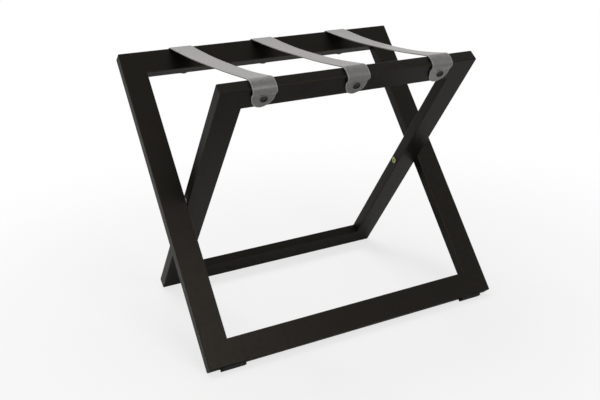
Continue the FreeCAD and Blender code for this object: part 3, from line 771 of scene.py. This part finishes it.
SCREW_OFFSET = 4.5 * MM                # to the right of the strap's middle
HEAD_SEAT = HALF_BAR + STRAP_SEAT + STRAP_THICKNESS + 0.1 * MM      # a head stands 0.1 mm off the leather
FIRST_SEED = 4                         # the rows have seeds of their own
for seed, (frame_name, side) in enumerate(SIDE.items()):
    spot = in_bench(frame_name, SCREW_OFFSET, side * HEAD_SEAT, HALF_LEG - SCREW_DROP)
    piece = grow(f"{frame_name}_strap_screw_row", SCREW_TREE, {
        "Place": spot, "Turn": (-side * (math.pi / 2 + LEAN), 0, 0), "Seed": FIRST_SEED + seed,
        "Material": blackened_steel})
    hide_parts(f"{frame_name}_strap_screws")
    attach(piece, f"{frame_name}_frame")
    print(piece.name, "faces:", len(piece.data.polygons))

# %% [markdown]
# ## Floor, light and camera
#
# A satin black object shows almost only what it reflects, so the light is broad and soft: one large panel
# above and behind, a smaller one above and in front, and pale surroundings. The world is white to the
# camera. As a light it is dimmer, so that the wood stays dark on a white background. In reflections it is
# white near the horizon and dims overhead, as a studio's walls and ceiling do, which sets the upward faces
# off from the upright ones. The floor is a plain pale sheet that keeps the bench's shadow, and turns whiter
# away from it where the camera sees it. The camera stands to the front left, 0.77 m above the floor, with a
# lens of 52 mm.

# %% Floor and surroundings
HALF_FLOOR = 9      # metres


def pale_floor():
    material, tree, shader = start_material("white_studio_paper", {
        "Base Color": linear("#e9e9e8"), "Roughness": 0.9, "Specular IOR Level": 0.1})
    place = add(tree, "ShaderNodeTexCoord")
    away = add(tree, "ShaderNodeVectorMath", {"operation": "LENGTH"}, {0: place.outputs["Object"]})
    fade = add(tree, "ShaderNodeMapRange", {"interpolation_type": "SMOOTHSTEP"}, {
        "Value": away.outputs["Value"], "From Min": 0.3, "From Max": 1.2, "To Min": 0.72, "To Max": 1.0})
    seen = add(tree, "ShaderNodeLightPath").outputs["Is Camera Ray"]
    share = add(tree, "ShaderNodeMath", {"operation": "MULTIPLY"}, {0: fade.outputs[0], 1: seen})
    white = add(tree, "ShaderNodeEmission", None, {"Color": (1, 1, 1, 1), "Strength": 1.0})
    both = add(tree, "ShaderNodeMixShader", None, {
        0: share.outputs[0], 1: shader.outputs[0], 2: white.outputs[0]})
    out = next(node for node in tree.nodes if node.type == "OUTPUT_MATERIAL")
    tree.links.new(both.outputs[0], out.inputs["Surface"])
    mesh = bpy.data.meshes.new("studio_floor")
    corners = [(x * HALF_FLOOR, y * HALF_FLOOR, 0) for x, y in ((-1, -1), (1, -1), (1, 1), (-1, 1))]
    mesh.from_pydata(corners, [], [(0, 1, 2, 3)])
    mesh.materials.append(material)
    floor = bpy.data.objects.new("studio_floor", mesh)
    bpy.context.scene.collection.objects.link(floor)


def surroundings(strength, overhead):
    """White where it is seen, a dimmer white as a light, and in reflections white that dims to overhead."""
    world = bpy.data.worlds.new("studio")
    bpy.context.scene.world = world
    world.use_nodes = True
    tree = world.node_tree
    tree.nodes.clear()
    path = add(tree, "ShaderNodeLightPath")
    direction = add(tree, "ShaderNodeTexCoord")
    up = add(tree, "ShaderNodeSeparateXYZ", None, {0: direction.outputs["Generated"]})
    sky = add(tree, "ShaderNodeMapRange", {"interpolation_type": "SMOOTHSTEP"}, {
        "Value": up.outputs[2], "From Min": 0.3, "From Max": 1.0, "To Min": 1.0, "To Max": overhead})
    mirrored = add(tree, "ShaderNodeMath", {"operation": "MAXIMUM"}, {
        0: path.outputs["Is Glossy Ray"], 1: path.outputs["Is Transmission Ray"]})
    level = add(tree, "ShaderNodeMix", {"data_type": "FLOAT"}, {
        0: mirrored.outputs[0], 2: strength, 3: sky.outputs[0]})
    level = add(tree, "ShaderNodeMix", {"data_type": "FLOAT"}, {
        0: path.outputs["Is Camera Ray"], 2: level.outputs[0], 3: 1.0})
    light = add(tree, "ShaderNodeBackground", None, {"Color": (1, 1, 1, 1), "Strength": level.outputs[0]})
    add(tree, "ShaderNodeOutputWorld", None, {"Surface": light.outputs[0]})


pale_floor()
surroundings(strength=0.30, overhead=0.5)
print("floor and world set")

# %% Lamps
AIM = Vector((0, 0, 0.3))


def panel(name, place, size, power):
    """A square soft light at a place, turned towards the bench."""
    lamp = bpy.data.lights.new(name, "AREA")
    lamp.shape, lamp.size, lamp.energy = "SQUARE", size, power
    thing = bpy.data.objects.new(name, lamp)
    turn = (AIM - Vector(place)).to_track_quat("-Z", "Y")
    thing.matrix_world = Matrix.Translation(place) @ turn.to_matrix().to_4x4()
    bpy.context.scene.collection.objects.link(thing)


panel("panel_behind", place=(-0.2, 1.3, 2.8), size=2.0, power=46)
panel("panel_front", place=(0.2, -2.3, 2.2), size=1.2, power=26)
print("lamps:", len(bpy.data.lights))

# %% Camera
RENDER_WIDTH, SENSOR_WIDTH = 600, 36.0      # pixels, mm
FOCAL, SHIFT = 863.03, (-20, -40)           # pixels


def look(place, yaw, pitch, roll):
    """A camera from its place in metres and its three angles in degrees."""
    yaw, pitch, roll = (math.radians(angle) for angle in (yaw, pitch, roll))
    forward = Vector((math.sin(yaw) * math.cos(pitch), math.cos(yaw) * math.cos(pitch), -math.sin(pitch)))
    right = Vector((math.cos(yaw), -math.sin(yaw), 0))
    up = right.cross(forward)
    tilted_right = math.cos(roll) * right + math.sin(roll) * up
    tilted_up = math.cos(roll) * up - math.sin(roll) * right
    camera = bpy.data.cameras.new("camera")
    camera.lens, camera.sensor_width = SENSOR_WIDTH * FOCAL / RENDER_WIDTH, SENSOR_WIDTH
    camera.shift_x, camera.shift_y = (side / RENDER_WIDTH for side in SHIFT)
    camera.clip_start, camera.clip_end = 0.05, 60.0
    thing = bpy.data.objects.new("camera", camera)
    turn = Matrix((tilted_right, tilted_up, -forward)).transposed()
    thing.matrix_world = Matrix.Translation(place) @ turn.to_4x4()
    bpy.context.scene.collection.objects.link(thing)
    bpy.context.scene.camera = thing


look(place=(-0.7418, -1.4255, 0.7747), yaw=28.436, pitch=17.011, roll=-1.542)
bpy.context.scene.view_settings.view_transform = "Standard"
print("camera set; lens", round(bpy.context.scene.camera.data.lens, 2), "mm")
